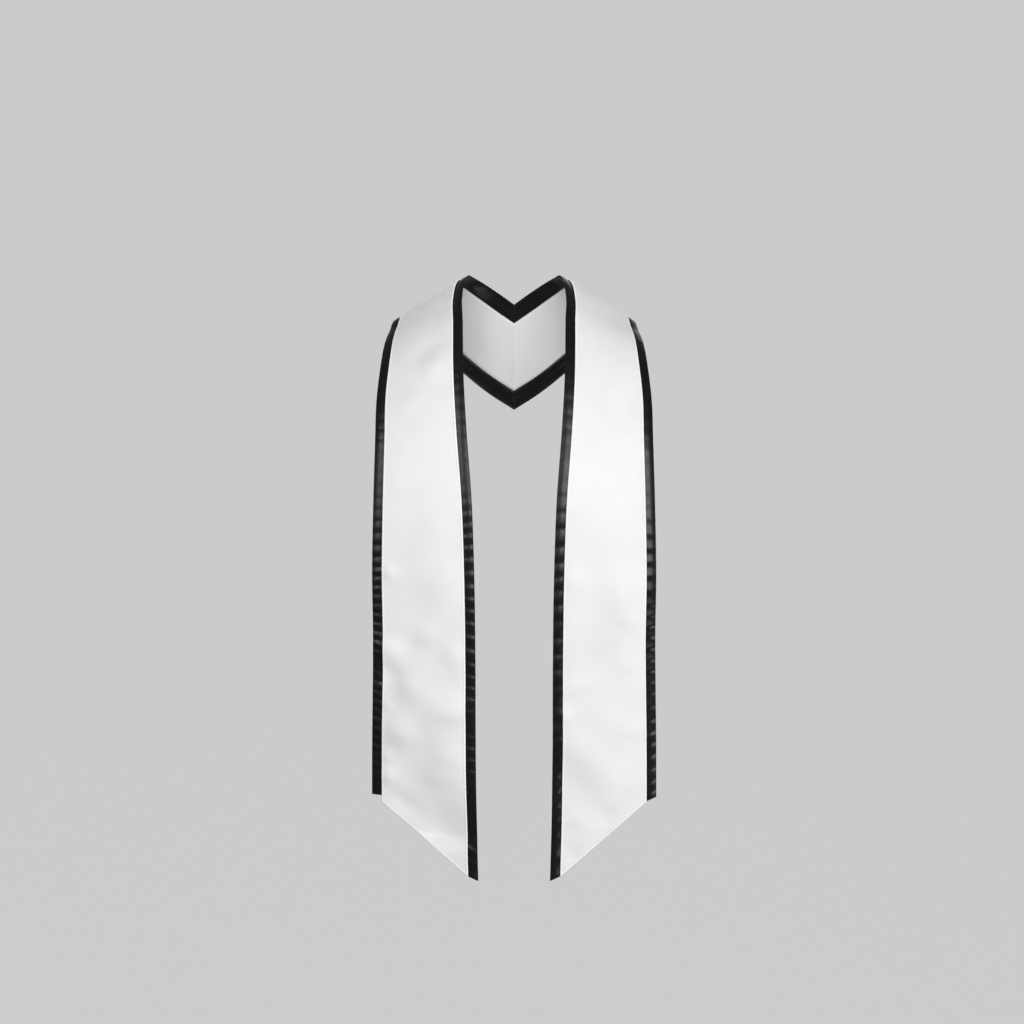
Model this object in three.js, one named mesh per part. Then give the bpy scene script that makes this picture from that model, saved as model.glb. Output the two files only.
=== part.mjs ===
// A graduation stole in the shape that it takes when it is worn: two satin halves that meet in a
// seam behind the neck, each with a ribbon along its neck edge and another along its outer edge.
// Millimetres, +Z up. -Y is the front, and the left half is on the +X side.
// The origin is the point of the neck edge at the middle of the back.
import * as THREE from "three";

// Across one half of the stole
const NECK_WIDTH = 101; // satin and both ribbons, on the shoulder
const END_WIDTH = 127; // satin and both ribbons, near the end
const RIBBON_SHOWN = 12; // each ribbon beside the satin
const RIBBON_TUCK = 6; // each ribbon under the satin's edge
const RIBBON_THICK = 1;
const SATIN_THICK = 2.4; // face, interfacing and backing together
const SATIN_EDGE_ROUND = 0.6; // bevel along the satin's long edges
const LAP_CLEARANCE = 0.3; // between a ribbon and the satin around it
const LAP_STEP = 1; // width of the slope where the satin thickens beside the ribbon
const SEAM_CLEARANCE = 0.4; // between the two halves at the back seam

// Where the stole lies
const NECK_HALF = 64; // from the middle to the neck edge, at the sides of the neck
const NECK_DEPTH = 44; // from the back seam forward to the shoulder's crest
const NECK_RISE = 33; // from the neck edge at the back seam up to the crest
const CHEST_REACH = 138; // from the crest forward to the hanging front
const FRONT_DROP = 736; // from the crest down to the tips
const END_SLANT = 40.6; // degrees that the satin's end rises outward
const RIBBON_END_SLANT = 24; // degrees that a ribbon's end rises outward

// The form of the cloth
const CAMBER = 4; // how far the middle of the chest stands out from a flat strip
const BILLOW = 5; // the deepest of the soft folds
const RIPPLE = 0.8; // the puckers of the ribbons' free edges, out and in
const RIPPLE_PITCH = 14.7; // from pucker to pucker, and the longest facet of the satin
const RIPPLE_FACETS = 4; // facets along each pucker
const SATIN_FACETS = 5; // facets across the satin between its ribbons

const SATIN = { color: 0xf3f3f1, roughness: 0.38, metalness: 0 };
const RIBBON = { color: 0x121214, roughness: 0.32, metalness: 0 };

// Lines that lie across one half, from the back seam over the shoulder to the front tip.
// Each starts on the neck edge, at a share of the sizes above: out of NECK_HALF, back of NECK_DEPTH,
// chest of CHEST_REACH, rise of NECK_RISE and drop of FRONT_DROP. It runs outward, turned backward by
// turn degrees and downward by dip degrees. taper is the share of the way from NECK_WIDTH to
// END_WIDTH. skew is the line's length for each millimetre of width, more than 1 where it slants.
// slant is the share of the ends' slants, camber that of CAMBER and ripple that of RIPPLE.
const LINES = table(
  ["out", "back", "chest", "rise", "drop", "turn", "dip", "taper", "skew", "slant", "camber", "ripple"],
  [
    [0.0, 0.0, 0.0, 0.0, 0.0, 90, 75.5, 0.0, 1.34, 0.0, 0.6, 0],
    [0.29, 0.07, 0.0, 0.4, 0.0, 50, 73, 0.0, 1.21, 0.0, 0.6, 0],
    [0.56, 0.3, 0.0, 0.73, 0.0, 36, 62, 0.0, 1.1, 0.0, 0.6, 0],
    [0.76, 0.62, 0.0, 0.93, 0.0, 30, 45.5, 0.0, 1.04, 0.0, 0.6, 0],
    [0.883, 1.0, 0.0, 1.0, 0.0, 24.5, 33, 0.0, 1.03, 0.0, 0.5, 0],
    [0.944, 1.0, 0.116, 1.0, 0.0114, 18.5, 27, 0.0, 1.02, 0.0, 0.4, 0],
    [0.995, 1.0, 0.297, 1.0, 0.0435, 18.5, 21.8, 0.0, 1.015, 0.0, 0.3, 0],
    [0.977, 1.0, 0.45, 1.0, 0.0791, 15.7, 15.5, 0.08, 1.008, 0.0, 0.5, 0],
    [0.972, 1.0, 0.543, 1.0, 0.1128, 11.5, 12.2, 0.12, 1.0, 0.0, 0.7, 0],
    [0.953, 1.0, 0.703, 1.0, 0.1807, 8.6, 10.6, 0.31, 1.0, 0.0, 0.9, 0],
    [0.897, 1.0, 0.83, 1.0, 0.2636, 7, 5.6, 0.43, 1.0, 0.0, 1.0, 0],
    [0.798, 1.0, 0.942, 1.0, 0.3785, 6.7, 2.1, 0.72, 1.0, 0.0, 0.9, 0],
    [0.744, 1.0, 0.986, 1.0, 0.5095, 5.5, 0, 0.88, 1.0, 0.1, 0.8, 1],
    [0.724, 1.0, 1.0, 1.0, 0.64, 5, 0, 0.88, 1.0, 0.35, 0.6, 1],
    [0.718, 1.0, 0.996, 1.0, 0.7704, 5, 0, 0.91, 1.0, 0.6, 0.5, 1],
    [0.701, 1.0, 0.986, 1.0, 0.9008, 5, 0, 0.98, 1.0, 0.85, 0.4, 1],
    [0.671, 1.0, 0.975, 1.0, 1.0, 5, 0, 1.06, 1.0, 1.0, 0.4, 0.7],
  ],
);

// Soft folds that bulge out of the cloth or sink into it. half is 1 for the left and -1 for the
// right. along and long are shares of the strip's length, across and wide of its width, and
// height of BILLOW. lean is how far along the fold moves for each width across, in widths.
const FOLDS = table(
  ["half", "along", "long", "across", "wide", "lean", "height"],
  [
    [1, 0.62, 0.05, 0.7, 0.22, 0.5, 0.5],
    [1, 0.73, 0.045, 0.35, 0.25, -0.6, -0.55],
    [1, 0.84, 0.05, 0.62, 0.25, 0.6, 0.7],
    [-1, 0.6, 0.05, 0.3, 0.22, -0.5, 0.5],
    [-1, 0.7, 0.045, 0.65, 0.25, 0.6, -0.6],
    [-1, 0.81, 0.055, 0.4, 0.28, -0.5, 0.8],
    [-1, 0.92, 0.04, 0.6, 0.2, 0.4, -0.5],
  ],
);

function table(names, rows) {
  return rows.map((row) => Object.fromEntries(names.map((name, i) => [name, row[i]])));
}

const radians = (degrees) => (degrees * Math.PI) / 180;

// A line of the table in millimetres and radians.
function laid(row) {
  return {
    x: SEAM_CLEARANCE / 2 + row.out * NECK_HALF,
    y: -row.back * NECK_DEPTH - row.chest * CHEST_REACH,
    z: row.rise * NECK_RISE - row.drop * FRONT_DROP,
    turn: radians(row.turn),
    dip: radians(row.dip),
    width: NECK_WIDTH + (END_WIDTH - NECK_WIDTH) * row.taper,
    skew: row.skew,
    slant: row.slant,
    camber: row.camber * CAMBER,
    ripple: row.ripple * RIPPLE,
  };
}

function startOf(line) {
  return new THREE.Vector3(line.x, line.y, line.z);
}

// The direction in which a line runs outward.
function outward(line) {
  const level = Math.cos(line.dip);
  return new THREE.Vector3(level * Math.cos(line.turn), level * Math.sin(line.turn), -Math.sin(line.dip));
}

function middleOf(line) {
  return startOf(line).addScaledVector(outward(line), (line.width * line.skew) / 2);
}

const LAID = LINES.map(laid);
const PLACES = [0];
for (let i = 1; i < LAID.length; i++) {
  PLACES.push(PLACES[i - 1] + middleOf(LAID[i]).distanceTo(middleOf(LAID[i - 1])));
}
const LENGTH = PLACES[PLACES.length - 1];

// How fast a column changes at line i, from the lines before and after it.
function slope(name, i) {
  const rise = (j) => (LAID[j + 1][name] - LAID[j][name]) / (PLACES[j + 1] - PLACES[j]);
  if (i === 0) return rise(0);
  if (i === LAID.length - 1) return rise(i - 1);
  const before = PLACES[i] - PLACES[i - 1];
  const after = PLACES[i + 1] - PLACES[i];
  return (rise(i - 1) * after + rise(i) * before) / (before + after);
}

const SLOPES = LAID.map((line, i) => {
  return Object.fromEntries(Object.keys(line).map((name) => [name, slope(name, i)]));
});

// The line at a distance along the middle of the strip, on smooth curves through the table's lines.
function lineAt(along) {
  let i = 0;
  while (i < LAID.length - 2 && along > PLACES[i + 1]) i++;
  const span = PLACES[i + 1] - PLACES[i];
  const t = (along - PLACES[i]) / span;
  const start = 1 - t * t * (3 - 2 * t);
  const leave = t * (1 - t) * (1 - t) * span;
  const arrive = t * t * (t - 1) * span;
  const line = {};
  for (const name of Object.keys(LAID[i])) {
    line[name] =
      LAID[i][name] * start +
      LAID[i + 1][name] * (1 - start) +
      SLOPES[i][name] * leave +
      SLOPES[i + 1][name] * arrive;
  }
  return line;
}

// A point of the flat-lying cloth, without its camber and folds.
function plain(along, across) {
  const line = lineAt(along);
  const inRibbons = Math.min(across, RIBBON_SHOWN) + Math.max(0, across - line.width + RIBBON_SHOWN);
  const climb =
    inRibbons * Math.tan(radians(RIBBON_END_SLANT)) + (across - inRibbons) * Math.tan(radians(END_SLANT));
  const point = startOf(line).addScaledVector(outward(line), across * line.skew);
  point.z += line.slant * climb;
  return point;
}

// The direction of the cloth's outer face. At the back seam it stays in the plane of the seam.
function away(along, across) {
  const near = 0.5;
  const on = plain(Math.min(along + near, LENGTH), across).sub(plain(Math.max(along - near, 0), across));
  const over = plain(along, across + near).sub(plain(along, across - near));
  const normal = on.cross(over);
  if (along === 0) normal.x = 0;
  return normal.normalize();
}

// How far the folds push the cloth outward.
function folded(half, along, across, width) {
  let sum = 0;
  for (const fold of FOLDS) {
    if (fold.half !== half) continue;
    const over = across / width - fold.across;
    const on = (along - fold.along * LENGTH - fold.lean * over * width) / (fold.long * LENGTH);
    sum += fold.height * BILLOW * Math.exp(-on * on - (over / fold.wide) ** 2);
  }
  return sum;
}

// A point of one half, lifted off the cloth's inner face.
function pointOf(half, along, across, lift) {
  const line = lineAt(along);
  const off = (2 * across) / line.width - 1;
  const out = line.camber * (1 - off * off) + folded(half, along, across, line.width);
  const point = plain(along, across).addScaledVector(away(along, across), out + lift);
  point.x *= half;
  return point;
}

// The satin's outline across the strip: a thin lip over each ribbon and the full thickness between.
function satinOutline(along) {
  const width = lineAt(along).width;
  const lip = RIBBON_THICK + LAP_CLEARANCE;
  const lipEnd = RIBBON_SHOWN + RIBBON_TUCK + LAP_CLEARANCE;
  const half = [
    [RIBBON_SHOWN, lip],
    [RIBBON_SHOWN, SATIN_THICK - SATIN_EDGE_ROUND],
    [RIBBON_SHOWN + SATIN_EDGE_ROUND, SATIN_THICK],
  ];
  const under = [
    [lipEnd + LAP_STEP, 0],
    [lipEnd, lip],
  ];
  const mirrored = (points) => points.map(([across, lift]) => [width - across, lift]).reverse();
  const spread = (from, lift) => {
    const step = (width - 2 * from) / SATIN_FACETS;
    return Array.from({ length: SATIN_FACETS - 1 }, (_, i) => [from + step * (i + 1), lift]);
  };
  const top = spread(RIBBON_SHOWN, SATIN_THICK);
  const bottom = spread(RIBBON_SHOWN, 0).reverse();
  return [...half, ...top, ...mirrored(half), ...mirrored(under), ...bottom, ...under];
}

// A ribbon's outline across the strip, from its free edge to its tucked edge.
function ribbonOutline(along, outer) {
  const line = lineAt(along);
  const place = (across) => (outer ? line.width - across : across);
  const wave = line.ripple * Math.sin((2 * Math.PI * along) / RIPPLE_PITCH);
  const tucked = RIBBON_SHOWN + RIBBON_TUCK;
  const outline = [
    [place(0), wave],
    [place(0), wave + RIBBON_THICK],
    [place(RIBBON_SHOWN), RIBBON_THICK],
    [place(tucked), RIBBON_THICK],
    [place(tucked), 0],
    [place(RIBBON_SHOWN), 0],
  ];
  return outer ? outline.reverse() : outline;
}

// Where the satin's facets end along the strip, and where those of a ribbon end.
const STEPS = Math.round(LENGTH / RIPPLE_PITCH);
const SATIN_STATIONS = Array.from({ length: STEPS + 1 }, (_, i) => (LENGTH * i) / STEPS);
const RIBBON_STATIONS = SATIN_STATIONS.flatMap((along, i) => {
  if (i === STEPS || lineAt(along).ripple <= 0) return [along];
  return Array.from({ length: RIPPLE_FACETS }, (_, k) => along + (LENGTH / STEPS) * (k / RIPPLE_FACETS));
});

// A closed body through an outline at each station, with a flat cap at both ends. Each facet's
// diagonal leads forward and outward, so that the facets of a ribbon and the satin over it match.
function sweep(name, look, half, stations, outlineAt) {
  const outlines = stations.map(outlineAt);
  const around = outlines[0].length;
  const positions = outlines.flatMap((outline, i) =>
    outline.flatMap(([across, lift]) => pointOf(half, stations[i], across, lift).toArray()),
  );
  const faces = [];
  for (let i = 0; i < stations.length - 1; i++) {
    for (let k = 0; k < around; k++) {
      const next = (k + 1) % around;
      const a = i * around + k;
      const b = i * around + next;
      const towardOuter = outlines[i][next][0] >= outlines[i][k][0];
      if (towardOuter) faces.push([a, b, b + around], [a, b + around, a + around]);
      else faces.push([a, b, a + around], [b, b + around, a + around]);
    }
  }
  const flat = (outline) => outline.map((p) => new THREE.Vector2(...p));
  const cap = (outline) => THREE.ShapeUtils.triangulateShape(flat(outline), []);
  const last = (stations.length - 1) * around;
  faces.push(...cap(outlines[0]));
  faces.push(...cap(outlines[outlines.length - 1]).map(([a, b, c]) => [last + a, last + c, last + b]));
  const geometry = new THREE.BufferGeometry();
  geometry.setAttribute("position", new THREE.Float32BufferAttribute(positions, 3));
  geometry.setIndex(faces.flatMap(([a, b, c]) => (half > 0 ? [a, c, b] : [a, b, c])));
  geometry.computeVertexNormals();
  const mesh = new THREE.Mesh(geometry, new THREE.MeshStandardMaterial(look));
  mesh.name = name;
  return mesh;
}

function halfOf(side, half) {
  return [
    sweep(`satin_${side}`, SATIN, half, SATIN_STATIONS, satinOutline),
    sweep(`neck_ribbon_${side}`, RIBBON, half, RIBBON_STATIONS, (along) => ribbonOutline(along, false)),
    sweep(`outer_ribbon_${side}`, RIBBON, half, RIBBON_STATIONS, (along) => ribbonOutline(along, true)),
  ];
}

const stole = new THREE.Group();
stole.name = "graduation_stole";
stole.add(...halfOf("left", 1), ...halfOf("right", -1));

export default stole;
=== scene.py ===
# A graduation stole of white satin with black ribbon edges, held up in its worn shape.
# Lengths are in millimetres until a point is made, and every mesh is in metres.
import math

import bpy
import numpy as np
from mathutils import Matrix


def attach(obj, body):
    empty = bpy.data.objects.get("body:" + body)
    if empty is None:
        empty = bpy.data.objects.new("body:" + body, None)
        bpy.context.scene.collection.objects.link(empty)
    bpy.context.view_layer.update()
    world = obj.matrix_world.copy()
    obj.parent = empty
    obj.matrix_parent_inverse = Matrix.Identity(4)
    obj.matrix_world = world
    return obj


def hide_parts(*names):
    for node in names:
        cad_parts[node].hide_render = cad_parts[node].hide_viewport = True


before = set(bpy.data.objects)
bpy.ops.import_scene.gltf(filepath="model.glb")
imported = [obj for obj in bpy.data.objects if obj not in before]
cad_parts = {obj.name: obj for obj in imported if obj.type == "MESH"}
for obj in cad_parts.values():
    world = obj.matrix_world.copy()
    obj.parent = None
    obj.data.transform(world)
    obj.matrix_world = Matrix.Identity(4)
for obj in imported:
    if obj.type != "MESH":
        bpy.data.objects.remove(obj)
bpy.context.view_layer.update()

MM = 0.001

# The same sizes as the solids
NECK_WIDTH = 101
END_WIDTH = 127
RIBBON_SHOWN = 12
NECK_HALF = 64
NECK_DEPTH = 44
NECK_RISE = 33
CHEST_REACH = 138
FRONT_DROP = 736
END_SLANT = math.radians(40.6)
RIBBON_END_SLANT = math.radians(24)
CAMBER = 4
BILLOW = 5

# What the solids leave to this model
SEAM_GAP = 0.01  # between the halves at the back seam, all but closed so that no light shows through
SEAM_SINK = 0.8  # how far the satin dips into the back seam
SEAM_REACH = 1.1  # how far from the seam it dips
CREASE = 2.5  # height of a crease with a height of 1 in its table
PUCKER = 0.45  # height of the ribbons' puckers at their free edge
PUCKER_LEAN = 0.12  # how far along a pucker moves for each millimetre from the free edge, at most
SATIN_PUCKER = 0.3  # height of the satin's puckers along its outer edge
SATIN_PUCKER_PITCH = 13
SATIN_PUCKER_REACH = 7  # how far in from the outer edge they fade
RIBBON_CLOTH = 0.45  # thickness of the ribbon
RIBBON_BEAD = 0.16  # how much the ribbon's woven edge is thicker on each face
CUT_REACH = 40  # how far up from its end a cut ribbon is drawn up
PAINTED_HIGHLIGHT_WIDTH = 1.6  # width of the band along the satin's rolled edge that gets a lighter colour, a painted highlight
END_SHRINK = 0.2  # share of a step along the strip that is lost at its outer edge, by the slanted end
STITCH_PITCH = 3.0
STITCH_LENGTH = 2.2
STITCH_RADIUS = 0.24
STITCH_INSET = 2.6  # from the satin's edge to its row of stitches
STITCH_HEIGHT = 2.34  # of a stitch's middle line off the cloth's inner face
STITCH_ARCH = 0.12  # how far its middle stands above its ends
STITCH_STOP = 4.5  # from the end to the last stitch of a long row

# How close the points of the meshes are
SATIN_COLUMNS = 28  # lines of points along the satin between its rolled edges
SATIN_STEP = 2.4
RIBBON_STEP = 0.95
SEAM_ROWS = [0, 0.5, 1.1, 1.8]
PLAIN_ROWS = [3, 10.5]  # from the seam to the first evenly spaced row, and from the last to the end
END_ROWS = [7.4, 6.2, 5.2, 4.2, 3.4, 2.9, 2.4, 2.0, 1.6, 1.25, 0.9, 0.6, 0.35, 0.15, 0]
END_LEAN = 0.76  # millimetres across the slanted end for each one along the strip
RIBBON_END_ROWS = [0.7, 0.4, 0.15, 0]

# Lines across one half, from the back seam to the front tip, as shares of the sizes above.
# turn and dip are degrees, skew is the line's length for each millimetre of width.
LINE_NAMES = "out back chest rise drop turn dip taper skew slant camber pucker".split()
LINES = [
    [0.0, 0.0, 0.0, 0.0, 0.0, 90, 75.5, 0.0, 1.34, 0.0, 0.6, 0.1],
    [0.29, 0.07, 0.0, 0.4, 0.0, 50, 73, 0.0, 1.21, 0.0, 0.6, 0.12],
    [0.56, 0.3, 0.0, 0.73, 0.0, 36, 62, 0.0, 1.1, 0.0, 0.6, 0.12],
    [0.76, 0.62, 0.0, 0.93, 0.0, 30, 45.5, 0.0, 1.04, 0.0, 0.6, 0.1],
    [0.883, 1.0, 0.0, 1.0, 0.0, 24.5, 33, 0.0, 1.03, 0.0, 0.5, 0.08],
    [0.944, 1.0, 0.116, 1.0, 0.0114, 18.5, 27, 0.0, 1.02, 0.0, 0.4, 0.1],
    [0.995, 1.0, 0.297, 1.0, 0.0435, 18.5, 21.8, 0.0, 1.015, 0.0, 0.3, 0.15],
    [0.977, 1.0, 0.45, 1.0, 0.0791, 15.7, 15.5, 0.08, 1.008, 0.0, 0.5, 0.25],
    [0.972, 1.0, 0.543, 1.0, 0.1128, 11.5, 12.2, 0.12, 1.0, 0.0, 0.7, 0.35],
    [0.953, 1.0, 0.703, 1.0, 0.1807, 8.6, 10.6, 0.31, 1.0, 0.0, 0.9, 0.3],
    [0.897, 1.0, 0.83, 1.0, 0.2636, 7, 5.6, 0.43, 1.0, 0.0, 1.0, 0.25],
    [0.798, 1.0, 0.942, 1.0, 0.3785, 6.7, 2.1, 0.72, 1.0, 0.0, 0.9, 0.45],
    [0.744, 1.0, 0.986, 1.0, 0.5095, 5.5, 0, 0.88, 1.0, 0.1, 0.8, 1],
    [0.724, 1.0, 1.0, 1.0, 0.64, 5, 0, 0.88, 1.0, 0.35, 0.6, 1],
    [0.718, 1.0, 0.996, 1.0, 0.7704, 5, 0, 0.91, 1.0, 0.6, 0.5, 0.9],
    [0.701, 1.0, 0.986, 1.0, 0.9008, 5, 0, 0.98, 1.0, 0.85, 0.4, 0.8],
    [0.671, 1.0, 0.975, 1.0, 1.0, 5, 0, 1.06, 1.0, 1.0, 0.4, 0.8],
]

# Soft folds. half is 1 for the left, on the +X side. along and long are shares of the strip's length,
# across and wide of its width, and height of BILLOW. lean is how far along the fold moves for
# each width across, in widths.
FOLD_NAMES = "half along long across wide lean height".split()
FOLDS = [
    [1, 0.62, 0.05, 0.7, 0.22, 0.5, 0.5],
    [1, 0.73, 0.045, 0.35, 0.25, -0.6, -0.55],
    [1, 0.84, 0.05, 0.62, 0.25, 0.6, 0.7],
    [-1, 0.6, 0.05, 0.3, 0.22, -0.5, 0.5],
    [-1, 0.7, 0.045, 0.65, 0.25, 0.6, -0.6],
    [-1, 0.81, 0.055, 0.4, 0.28, -0.5, 0.8],
    [-1, 0.92, 0.04, 0.6, 0.2, 0.4, -0.5],
]

# Shorter creases of the fronts. out is in millimetres from the middle of the stole, down is in
# millimetres below the neck edge at the back, and long and wide are millimetres too. droop is how
# many degrees a crease falls toward the outer edge, steep how much its lower flank is narrower
# than its upper one, and height is a share of CREASE.
CREASE_NAMES = "half out down long wide droop steep height".split()
CREASES = [
    [1, 71, 342, 13, 14, 0, 0, 0.5],
    [1, 129, 368, 12, 12, 10, 0, 0.4],
    [1, 68, 391, 14, 11, 0, 0.2, 0.4],
    [1, 139, 392, 24, 13, 20, 0.2, 0.7],
    [1, 139, 447, 15, 14, 10, 0.2, 0.5],
    [1, 72, 473, 20, 13, -25, 0.3, 1.1],
    [1, 61, 506, 8, 9, 0, 0, 0.6],
    [1, 113, 519, 24, 18, 20, 0, 0.4],
    [1, 145, 525, 13, 9, -20, 0, 0.7],
    [1, 146, 542, 12, 9, -20, 0, -0.4],
    [1, 88, 556, 45, 26, 40, 0.1, 2.2],
    [1, 83, 598, 35, 17, 40, 0, -0.6],
    [1, 108, 625, 14, 11, -40, 0, -1],
    [1, 77, 632, 12, 10, 0, 0.2, 0.7],
    [1, 69, 671, 10, 9, -35, 0, -0.8],
    [-1, 101, 62, 20, 10, 35, 0, -0.8],
    [-1, 96, 85, 18, 14, 35, 0, 1.3],
    [-1, 123, 128, 14, 11, 40, 0, 0.5],
    [-1, 151, 333, 9, 9, 0, 0, 0.6],
    [-1, 107, 410, 16, 14, 0, 0.2, 1],
    [-1, 151, 426, 16, 13, -20, 0, 1.3],
    [-1, 149, 455, 17, 15, -30, -0.2, -1.4],
    [-1, 72, 434, 14, 15, 0, 0, 1],
    [-1, 125, 471, 16, 13, -10, 0, 0.9],
    [-1, 153, 492, 7, 7, 0, 0, 0.5],
    [-1, 75, 500, 22, 17, 0, 0.2, 1.8],
    [-1, 137, 525, 20, 17, -15, 0.1, 1.8],
    [-1, 153, 554, 7, 8, 0, 0, 0.6],
    [-1, 77, 554, 18, 14, 0, 0, 0.8],
    [-1, 89, 576, 30, 20, -10, 0.2, 1.2],
    [-1, 151, 578, 10, 10, -20, 0, 0.9],
    [-1, 133, 609, 22, 12, -38, 0, -1.2],
    [-1, 87, 645, 34, 25, -8, 0.4, -4.6],
]

# The satin's rolled edge: heights of its face and its back at these distances from a long edge, and
# of its back at the first few of them from the slanted end.
EDGE_AT = [0, 0.25, 0.6, 1.0, 1.5, 2.0, 2.6, 3.2, 4.2, 5.2, 6.3, 7.3]
EDGE_FACE = [1.9, 2.32, 2.58, 2.7, 2.68, 2.5, 2.28, 2.33, 2.4, 2.4, 2.4, 2.4]
EDGE_BACK = [1.8, 1.52, 1.42, 1.42, 1.42, 1.42, 1.42, 1.42, 1.42, 1.42, 1.42, 0]
END_BACK = [1.8, 1.0, 0.3, 0]

# Lines of points along a ribbon, by their distance from its free edge
RIBBON_AT = [0, 0.15, 0.4, 0.8, 1.2, 1.8, 2.8, 4, 5.5, 7, 8.5, 10, 11.2, 12.2, 13.5, 15.5, 18]

# The ribbons: pitch of the puckers in millimetres, their share of PUCKER, the seed of their run, and
# what the end lacks in millimetres at the free edge and by the satin.
RIBBON_NAMES = "half pitch pucker seed lack_free lack_sewn".split()
RIBBONS = {
    "neck": [[1, 19, 1.1, 2.0, 0, 0], [-1, 15, 0.9, 0.0, 0, 0]],
    "outer": [[1, 19, 0.9, 3.6, 0, 0], [-1, 15, 0.9, 1.6, 4.5, 9.5]],
}

# How far the ribbon bows off the cloth's inner face, from its free edge to under the satin
RIBBON_BOW_AT = [0, 1, 2.5, 5, 7, 9, 10.5, 12, 14]
RIBBON_BOW = [0.5, 0.68, 0.92, 1.08, 1.02, 0.78, 0.5, 0.3, 0.3]

# A stitch is rings round its middle line: how far along its half length, and how thick
STITCH_RINGS = [(-1.0, 0.25), (-0.75, 0.85), (0.0, 1.0), (0.75, 0.85), (1.0, 0.25)]
STITCH_SIDES = 6

# Length of the satin's floating threads and of the threads that cross them, in widths of a thread
FLOAT_LENGTH = 14
CROSSING_LENGTH = 5
CROSSING_SHARE = 0.4  # how much the crossing threads stand out beside the floating ones
PATCH_SCALE = 22  # of the patches of slightly uneven colour
GLOSS_SCALE = 60  # of the patches of slightly uneven gloss


def columns_of(names, rows):
    return {name: np.array([row[i] for row in rows], float) for i, name in enumerate(names)}


def laid():
    """The table's lines in millimetres and radians."""
    share = columns_of(LINE_NAMES, LINES)
    return {
        "x": SEAM_GAP / 2 + share["out"] * NECK_HALF,
        "y": -share["back"] * NECK_DEPTH - share["chest"] * CHEST_REACH,
        "z": share["rise"] * NECK_RISE - share["drop"] * FRONT_DROP,
        "turn": np.radians(share["turn"]),
        "dip": np.radians(share["dip"]),
        "width": NECK_WIDTH + (END_WIDTH - NECK_WIDTH) * share["taper"],
        "skew": share["skew"],
        "slant": share["slant"],
        "camber": share["camber"] * CAMBER,
        "pucker": share["pucker"],
    }


def outward(line):
    level = np.cos(line["dip"])
    parts = [level * np.cos(line["turn"]), level * np.sin(line["turn"]), -np.sin(line["dip"])]
    return np.stack(np.broadcast_arrays(*parts), axis=-1)


LAID = laid()
START = np.stack([LAID["x"], LAID["y"], LAID["z"]], axis=-1)
MIDDLE = START + outward(LAID) * (LAID["width"] * LAID["skew"] / 2)[:, None]
PLACES = np.concatenate([[0], np.cumsum(np.linalg.norm(np.diff(MIDDLE, axis=0), axis=1))])
LENGTH = PLACES[-1]


def slopes(values):
    """How fast a column changes at each line, from the lines before and after it."""
    step = np.diff(PLACES)
    rise = np.diff(values) / step
    inner = (rise[:-1] * step[1:] + rise[1:] * step[:-1]) / (step[:-1] + step[1:])
    return np.concatenate([rise[:1], inner, rise[-1:]])


SLOPES = {name: slopes(values) for name, values in LAID.items()}


def line_at(along):
    """The lines at distances along the middle of the strip."""
    i = np.clip(np.searchsorted(PLACES, along) - 1, 0, len(PLACES) - 2)
    span = PLACES[i + 1] - PLACES[i]
    t = (along - PLACES[i]) / span
    start = 1 - t * t * (3 - 2 * t)
    leave = t * (1 - t) ** 2 * span
    arrive = t * t * (t - 1) * span
    return {
        name: v[i] * start + v[i + 1] * (1 - start) + SLOPES[name][i] * leave + SLOPES[name][i + 1] * arrive
        for name, v in LAID.items()
    }


def plain(along, across):
    """Points of the cloth without its camber and folds."""
    line = line_at(along)
    in_ribbons = np.minimum(across, RIBBON_SHOWN) + np.maximum(0, across - line["width"] + RIBBON_SHOWN)
    climb = in_ribbons * math.tan(RIBBON_END_SLANT) + (across - in_ribbons) * math.tan(END_SLANT)
    point = np.stack(np.broadcast_arrays(line["x"], line["y"], line["z"]), axis=-1)
    point = point + outward(line) * (across * line["skew"])[..., None]
    point[..., 2] += line["slant"] * climb
    return point


def away(along, across):
    """The direction of the cloth's outer face."""
    near = 0.5
    ahead = plain(np.minimum(along + near, LENGTH), across)
    behind = plain(np.maximum(along - near, 0), across)
    over = plain(along, across + near) - plain(along, across - near)
    normal = np.cross(ahead - behind, over)
    normal[..., 0] = np.where(np.broadcast_to(along == 0, normal.shape[:-1]), 0, normal[..., 0])
    return normal / np.linalg.norm(normal, axis=-1, keepdims=True)


def folded(half, along, across, width):
    """How far the folds push the cloth outward."""
    total = np.zeros(np.broadcast(along, across).shape)
    for row in FOLDS:
        fold = dict(zip(FOLD_NAMES, row))
        if fold["half"] != half:
            continue
        over = across / width - fold["across"]
        on = (along - fold["along"] * LENGTH - fold["lean"] * over * width) / (fold["long"] * LENGTH)
        total += fold["height"] * BILLOW * np.exp(-on * on - (over / fold["wide"]) ** 2)
    return total


def creased(half, point):
    """How far the creases push the cloth outward at its plain points."""
    total = np.zeros(point.shape[:-1])
    for row in CREASES:
        crease = dict(zip(CREASE_NAMES, row))
        if crease["half"] != half:
            continue
        droop = math.radians(crease["droop"])
        out, down = point[..., 0] - crease["out"], -point[..., 2] - crease["down"]
        on = (out * math.cos(droop) + down * math.sin(droop)) / crease["long"]
        over = (down * math.cos(droop) - out * math.sin(droop)) / crease["wide"]
        over = np.where(over > 0, over / (1 - crease["steep"]), over / (1 + crease["steep"]))
        total += CREASE * crease["height"] * np.exp(-on * on - over * over)
    return total


def points_of(half, along, across, lift):
    """Points of one half in metres, lifted off the cloth's inner face."""
    line = line_at(along)
    off = 2 * across / line["width"] - 1
    point = plain(along, across)
    out = line["camber"] * (1 - off * off) + folded(half, along, across, line["width"])
    out = out + creased(half, point)
    point = point + away(along, across) * (out + lift)[..., None]
    point[..., 0] *= half
    return point * MM


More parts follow.
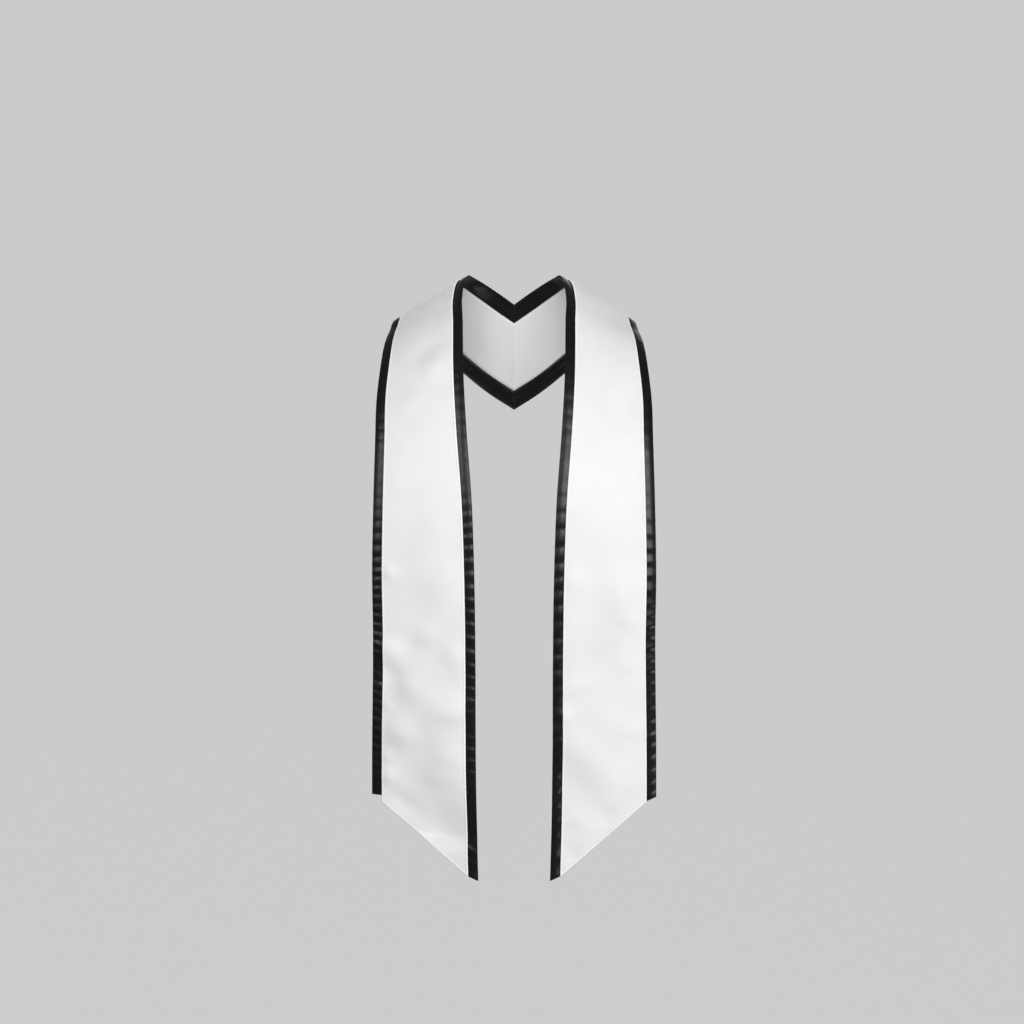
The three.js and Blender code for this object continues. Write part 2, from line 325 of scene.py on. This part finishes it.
def placed(name, mesh):
    """A smooth object in the scene."""
    mesh.polygons.foreach_set("use_smooth", [True] * len(mesh.polygons))
    piece = bpy.data.objects.new(name, mesh)
    bpy.context.scene.collection.objects.link(piece)
    return piece


def shell(name, half, along, across, face, back):
    """A closed thin body between the heights of its face and its back, with the cloth's own UVs."""
    rows, columns = across.shape
    count = rows * columns
    points = np.concatenate([points_of(half, along, across, lift).reshape(-1, 3) for lift in (face, back)])
    index = np.arange(count).reshape(rows, columns)

    def quads(a, b):
        """Strips between two lines of points."""
        return np.stack([a[:-1], b[:-1], b[1:], a[1:]], axis=-1).reshape(-1, 4)

    top = np.concatenate([quads(index[:, j], index[:, j + 1])[:, ::-1] for j in range(columns - 1)])
    low = index + count
    faces = [
        top,
        top[:, ::-1] + count,
        quads(index[:, 0], low[:, 0]),
        quads(low[:, -1], index[:, -1]),
        quads(low[0], index[0]),
        quads(index[-1], low[-1]),
    ]
    faces = np.concatenate(faces)
    if half < 0:
        faces = faces[:, ::-1]
    mesh = bpy.data.meshes.new(name)
    mesh.from_pydata(points.tolist(), [], faces.tolist())
    uv = np.stack([across, along], axis=-1).reshape(-1, 2) * MM
    uv = np.concatenate([uv, uv])
    corner = np.zeros(len(mesh.loops), int)
    mesh.loops.foreach_get("vertex_index", corner)
    layer = mesh.uv_layers.new(name="cloth")
    layer.data.foreach_set("uv", uv[corner].ravel())
    mesh.update()
    piece = placed(name, mesh)
    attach(piece, "root")
    return piece


def shrunk(across, width):
    """What is left of a step along the strip near its slanted end."""
    return 1 - END_SHRINK * across / width


def to_end(along, across, width):
    """Distance to the slanted end, across the cloth."""
    return (LENGTH - along) * shrunk(across, width) * math.cos(END_SLANT)


def waves(along, pitch, seed):
    """A run of puckers from -1 to 1, whose pitch drifts and whose height varies."""
    drift = 1.1 * np.sin(along / 37 + 2.1 * seed) + 0.5 * np.sin(along / 15 + seed)
    phase = 2 * np.pi * along / pitch + drift
    size = 0.8 + 0.2 * np.sin(along / 23 + 3 * seed)
    return size * np.sin(phase + 0.3 * np.sin(phase + seed))


def satin_grid():
    """Rows and columns of points over a panel, closer together by its seam, its edges and its end."""
    first, last = PLAIN_ROWS
    plain_rows = np.arange(first, LENGTH - last, SATIN_STEP)
    rows = np.concatenate([SEAM_ROWS, plain_rows, LENGTH - np.array(END_ROWS) / END_LEAN])
    along = rows[:, None] * np.ones((1, 2 * len(EDGE_AT) + SATIN_COLUMNS))
    width = line_at(along)["width"][:, :1] - 2 * RIBBON_SHOWN
    edge = np.array(EDGE_AT)[None, :] * np.ones((len(along), 1))
    share = np.linspace(0, 1, SATIN_COLUMNS + 2)[None, 1:-1]
    middle = EDGE_AT[-1] + (width - 2 * EDGE_AT[-1]) * share
    return along, np.concatenate([edge, middle, width - edge[:, ::-1]], axis=1)


def satin(side, half):
    """The white panel of one half, with its turned-over edges, painted lighter along them as a painted
    highlight, and the groove that its stitches lie in.
    """
    along, inset = satin_grid()
    line = line_at(along)
    across = RIBBON_SHOWN + inset
    outer = line["width"] - 2 * RIBBON_SHOWN - inset
    to_side = np.minimum(inset, outer)
    end = to_end(along, across, line["width"])
    near = np.minimum(to_side, end)
    back = np.maximum(np.interp(to_side, EDGE_AT, EDGE_BACK), np.interp(end, EDGE_AT[:4], END_BACK))
    gather = np.exp(-((outer / SATIN_PUCKER_REACH) ** 2)) * np.clip((outer - STITCH_INSET) / 3, 0, 1)
    puckers = gather * line["pucker"] * waves(along, SATIN_PUCKER_PITCH, 0.4 + half)
    face = np.interp(near, EDGE_AT, EDGE_FACE) + SATIN_PUCKER * puckers
    face = face - SEAM_SINK * np.exp(-((along / SEAM_REACH) ** 2))
    piece = shell(f"stole_satin_{side}", half, along, across, face, back)
    # Faces along the rolled edges get the second, lighter material: a painted highlight where the edge
    # would catch the light.
    painted_highlight_rim = np.tile((near < PAINTED_HIGHLIGHT_WIDTH).ravel(), 2)
    for polygon in piece.data.polygons:
        polygon.material_index = int(all(painted_highlight_rim[v] for v in polygon.vertices))
    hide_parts(f"satin_{side}")
    return piece


def ribbon_heights(along, inset, last, gathers):
    """Heights of a ribbon's face and back. It thins out at its end, where last falls below 1."""
    pitch, seed = gathers["pitch"], gathers["seed"]
    share = np.interp(inset, [0, RIBBON_SHOWN - 1, RIBBON_SHOWN + 4], [1, 0.8, 0])
    height = PUCKER * gathers["pucker"] * line_at(along)["pucker"] * share
    lean = PUCKER_LEAN * inset * np.sin(along / 43 + seed)
    rise = np.interp(inset, RIBBON_BOW_AT, RIBBON_BOW) + height * waves(along + lean, pitch, seed)
    nose = np.interp(inset, [0, 0.15, 0.4], [0.1, 0.75, 1])
    bead = RIBBON_BEAD * np.exp(-(((inset - 0.5) / 0.35) ** 2))
    thick = RIBBON_CLOTH / 2 * nose * last + bead * nose
    return rise + thick, rise - thick


def ribbon(side, half, place):
    """A ribbon along one edge, gathered into small puckers."""
    gathers = next(dict(zip(RIBBON_NAMES, row)) for row in RIBBONS[place] if row[0] == half)
    rows = [np.arange(0, LENGTH - 1, RIBBON_STEP), LENGTH - np.array(RIBBON_END_ROWS)]
    along = np.concatenate(rows)[:, None]
    inset = np.array(RIBBON_AT)[None, :] * np.ones((len(along), 1))
    last = np.interp(LENGTH - along, [0, 0.15, 0.4], [0.3, 0.8, 1])
    near_end = np.clip((along - LENGTH + CUT_REACH) / CUT_REACH, 0, 1) ** 2
    lack = np.interp(inset, [0, RIBBON_SHOWN], [gathers["lack_free"], gathers["lack_sewn"]])
    along = along - near_end * lack
    face, back = ribbon_heights(along, inset, last, gathers)
    across = inset
    if place == "outer":
        along, face, back = along[:, ::-1], face[:, ::-1], back[:, ::-1]
        across = line_at(along)["width"] - inset[:, ::-1]
    piece = shell(f"stole_{place}_ribbon_{side}", half, along, across, face, back)
    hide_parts(f"{place}_ribbon_{side}")
    return piece


def stitch_rows():
    """Rows of stitches, each as the places of their first ends, middles and last ends."""
    inset = RIBBON_SHOWN + STITCH_INSET
    middle = np.arange(STITCH_PITCH, LENGTH - STITCH_STOP, STITCH_PITCH)
    reach = STITCH_LENGTH / 2
    places = [middle - reach, middle, middle + reach]
    inner_row = [(along, inset + 0 * along) for along in places]
    outer_row = [(along, line_at(along)["width"] - inset) for along in places]
    width = float(line_at(np.array([LENGTH]))["width"][0])
    step = STITCH_PITCH * math.cos(END_SLANT)
    middle = np.arange(inset + step, width - inset, step)
    reach = STITCH_LENGTH / 2 * math.cos(END_SLANT)
    up = STITCH_INSET / math.cos(END_SLANT)
    end_row = [(LENGTH - up / shrunk(a, width), a) for a in (middle - reach, middle, middle + reach)]
    return [inner_row, outer_row, end_row]


def stitch_points(low, mid, high, up):
    """The rings of points of one stitch, in metres."""
    ahead = (high - low) / np.linalg.norm(high - low)
    over = np.cross(ahead, up)
    points = []
    for at, thick in STITCH_RINGS:
        centre = mid + (high - low) / 2 * at + up * (STITCH_ARCH * MM * (1 - at * at))
        for turn in range(STITCH_SIDES):
            angle = 2 * math.pi * turn / STITCH_SIDES
            spoke = up * math.cos(angle) + over * math.sin(angle)
            points.append((centre + spoke * STITCH_RADIUS * MM * thick).tolist())
    return points


def stitch_faces(first):
    """The faces of a stitch whose points are counted from first."""
    last = first + (len(STITCH_RINGS) - 1) * STITCH_SIDES
    faces = [tuple(first + k for k in reversed(range(STITCH_SIDES)))]
    for ring in range(first, last, STITCH_SIDES):
        for turn in range(STITCH_SIDES):
            a, b = ring + turn, ring + (turn + 1) % STITCH_SIDES
            faces.append((a, b, b + STITCH_SIDES, a + STITCH_SIDES))
    return faces + [tuple(last + k for k in range(STITCH_SIDES))]


def stitches(side, half):
    """Small white stitches in the groove inside both long edges and the slanted end."""
    points, faces = [], []
    for row in stitch_rows():
        ends = [points_of(half, along, across, STITCH_HEIGHT) for along, across in row]
        ups = away(*row[1]) * [half, 1, 1]
        for low, mid, high, up in zip(*ends, ups):
            faces += stitch_faces(len(points))
            points += stitch_points(low, mid, high, up)
    mesh = bpy.data.meshes.new(f"stole_stitches_{side}")
    mesh.from_pydata(points, [], faces)
    piece = placed(f"stole_stitches_{side}", mesh)
    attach(piece, "root")
    return piece


def new_material(name):
    made = bpy.data.materials.new(name)
    made.use_nodes = True
    nodes = made.node_tree.nodes
    nodes.clear()
    output = nodes.new("ShaderNodeOutputMaterial")
    shader = nodes.new("ShaderNodeBsdfPrincipled")
    made.node_tree.links.new(shader.outputs[0], output.inputs[0])
    return made, shader


def noise(made, source, scale, stretch=(1, 1, 1), detail=2.0):
    """A noise over a coordinate, stretched along its axes."""
    nodes, links = made.node_tree.nodes, made.node_tree.links
    mapping = nodes.new("ShaderNodeMapping")
    mapping.inputs["Scale"].default_value = stretch
    texture = nodes.new("ShaderNodeTexNoise")
    texture.inputs["Scale"].default_value = scale
    texture.inputs["Detail"].default_value = detail
    links.new(source, mapping.inputs[0])
    links.new(mapping.outputs[0], texture.inputs[0])
    return texture.outputs["Fac"]


def ranged(made, value, low, high):
    node = made.node_tree.nodes.new("ShaderNodeMapRange")
    node.inputs["From Min"].default_value = 0.3
    node.inputs["From Max"].default_value = 0.7
    node.inputs["To Min"].default_value = low
    node.inputs["To Max"].default_value = high
    made.node_tree.links.new(value, node.inputs["Value"])
    return node.outputs[0]


def between(made, value, low, high):
    """A colour between two, by a value."""
    node = made.node_tree.nodes.new("ShaderNodeMix")
    node.data_type = "RGBA"
    node.inputs[6].default_value = (*low, 1)
    node.inputs[7].default_value = (*high, 1)
    made.node_tree.links.new(value, node.inputs[0])
    return node.outputs[2]


def cloth(name, dark, light, roughness, sheen, sheen_roughness, shine, thread_width, relief):
    """Satin: long floating threads, slightly uneven colour and gloss, and a soft sheen."""
    made, shader = new_material(name)
    nodes, links = made.node_tree.nodes, made.node_tree.links
    place = nodes.new("ShaderNodeTexCoord")
    uv, solid = place.outputs["UV"], place.outputs["Object"]
    fine = 1 / (thread_width * MM)
    threads = noise(made, uv, 1, (fine, fine / FLOAT_LENGTH, 1), 1.0)
    crossing = noise(made, uv, 1, (fine / CROSSING_LENGTH, fine, 1), 0.0)
    patches = noise(made, solid, PATCH_SCALE, detail=3)
    colour = between(made, ranged(made, patches, 0, 1), dark, light)
    links.new(colour, shader.inputs["Base Color"])
    gloss = noise(made, solid, GLOSS_SCALE, detail=2)
    links.new(ranged(made, gloss, *roughness), shader.inputs["Roughness"])
    weave = nodes.new("ShaderNodeMath")
    weave.operation = "MULTIPLY_ADD"
    weave.inputs[1].default_value = CROSSING_SHARE
    links.new(crossing, weave.inputs[0])
    links.new(threads, weave.inputs[2])
    bump = nodes.new("ShaderNodeBump")
    bump.inputs["Strength"].default_value = relief
    bump.inputs["Distance"].default_value = 0.1 * MM
    links.new(weave.outputs[0], bump.inputs["Height"])
    links.new(bump.outputs[0], shader.inputs["Normal"])
    shader.inputs["Sheen Weight"].default_value = sheen
    shader.inputs["Sheen Roughness"].default_value = sheen_roughness
    shader.inputs["IOR"].default_value = 1.5
    shader.inputs["Specular IOR Level"].default_value = shine
    return made


def plain_white(name, shade, glow):
    made, shader = new_material(name)
    shader.inputs["Base Color"].default_value = (shade, shade, shade, 1)
    shader.inputs["Roughness"].default_value = 0.9
    shader.inputs["Specular IOR Level"].default_value = 0.1
    shader.inputs["Emission Color"].default_value = (1, 1, 1, 1)
    shader.inputs["Emission Strength"].default_value = glow
    return made


def backdrop(floor, reach, bend, height, sides=64):
    """A round pale floor that curves up into a wall all round. Only the camera sees it."""
    profile = [(reach - bend, floor)]
    for k in range(1, 13):
        angle = math.pi / 2 * k / 12
        profile.append((reach - bend + bend * math.sin(angle), floor + bend * (1 - math.cos(angle))))
    profile.append((reach, floor + height))
    turns = [2 * math.pi * k / sides for k in range(sides)]
    vertices = [(r * math.cos(turn), r * math.sin(turn), z) for r, z in profile for turn in turns]
    faces = [tuple(range(sides))]
    for ring in range(len(profile) - 1):
        for k in range(sides):
            low, over = ring * sides + k, ring * sides + (k + 1) % sides
            faces.append((low, over, over + sides, low + sides))
    mesh = bpy.data.meshes.new("backdrop")
    mesh.from_pydata(vertices, [], faces)
    sweep = placed("backdrop", mesh)
    sweep.data.materials.append(plain_white("backdrop_paper", 0.4, 0.5))
    sweep.visible_diffuse = False
    sweep.visible_glossy = False
    sweep.visible_shadow = False


def softbox(name, place, aim, size, power, gloss=True):
    """A soft lamp that the camera doesn't see, and that the cloth mirrors only where gloss is set."""
    light = bpy.data.lights.new(name, "AREA")
    light.shape = "RECTANGLE"
    light.size, light.size_y = size
    light.energy = power
    lamp = bpy.data.objects.new(name, light)
    lamp.location = place
    back = [p - a for p, a in zip(place, aim)]
    flat = math.hypot(back[0], back[1])
    lamp.rotation_euler = (math.atan2(flat, back[2]), 0, math.atan2(back[1], back[0]) + math.pi / 2)
    lamp.visible_camera = False
    lamp.visible_glossy = gloss
    bpy.context.scene.collection.objects.link(lamp)


def even_light(strength):
    """White light from all round."""
    world = bpy.data.worlds.new("studio")
    bpy.context.scene.world = world
    world.use_nodes = True
    sky = world.node_tree.nodes["Background"]
    sky.inputs[0].default_value = (1, 1, 1, 1)
    sky.inputs[1].default_value = strength


def camera():
    lens = bpy.data.cameras.new("camera")
    lens.sensor_width = 36
    lens.lens = 117.2
    lens.clip_end = 50
    eye = bpy.data.objects.new("camera", lens)
    eye.location = (-0.0026, -4.18, -0.26)
    eye.rotation_euler = (math.pi / 2, 0, 0)
    bpy.context.scene.collection.objects.link(eye)
    bpy.context.scene.camera = eye


camera()

white = cloth(
    "white_satin",
    dark=(0.735, 0.731, 0.747),
    light=(0.78, 0.776, 0.79),
    roughness=(0.42, 0.48),
    sheen=0.1,
    sheen_roughness=0.4,
    shine=0.5,
    thread_width=0.28,
    relief=0.25,
)
# A lighter copy of the white satin for the rolled edges: a painted highlight, not a different cloth.
edge = cloth(
    "white_satin_painted_edge_highlight",
    dark=(0.9, 0.9, 0.9),
    light=(0.93, 0.93, 0.93),
    roughness=(0.4, 0.5),
    sheen=0.2,
    sheen_roughness=0.4,
    shine=0.5,
    thread_width=0.28,
    relief=0.2,
)
black = cloth(
    "black_satin",
    dark=(0.0034, 0.002, 0.0023),
    light=(0.0044, 0.003, 0.0033),
    roughness=(0.26, 0.32),
    sheen=0.0,
    sheen_roughness=0.4,
    shine=0.36,
    thread_width=0.25,
    relief=0.3,
)
thread = cloth(
    "white_thread",
    dark=(0.76, 0.76, 0.76),
    light=(0.84, 0.84, 0.83),
    roughness=(0.5, 0.6),
    sheen=0.2,
    sheen_roughness=0.5,
    shine=0.4,
    thread_width=0.2,
    relief=0.2,
)

for side, half in (("left", 1), ("right", -1)):
    panel = satin(side, half)
    rows = stitches(side, half)
    panel.data.materials.append(white)
    panel.data.materials.append(edge)
    rows.data.materials.append(thread)
    for place in RIBBONS:
        strip = ribbon(side, half, place)
        strip.data.materials.append(black)

backdrop(floor=-2.2, reach=9.0, bend=6.0, height=12.0)
softbox("key", (0.6, -1.9, 0.42), (0, -0.17, -0.28), (0.9, 0.65), 13)
softbox("left fill", (-0.85, -1.9, 0.6), (-0.1, -0.15, -0.25), (0.9, 0.8), 9)
softbox("front", (-0.25, -2.2, 0.45), (0, -0.17, -0.28), (1.2, 1.0), 14.5, gloss=False)
softbox("low fill", (1.3, -1.25, -1.4), (0.05, -0.18, -0.6), (1.0, 1.0), 15)
softbox("top", (0.8, -0.8, 1.2), (0.05, -0.1, -0.1), (1.0, 0.8), 4, gloss=False)
softbox("back", (-0.5, 2.0, 1.0), (0, 0, -0.2), (1.4, 1.4), 38, gloss=False)
softbox("back sheen", (0.4, 2.0, 0.9), (0, 0, -0.1), (2.0, 1.4), 8)

even_light(0.2)
bpy.context.scene.view_settings.view_transform = "Standard"
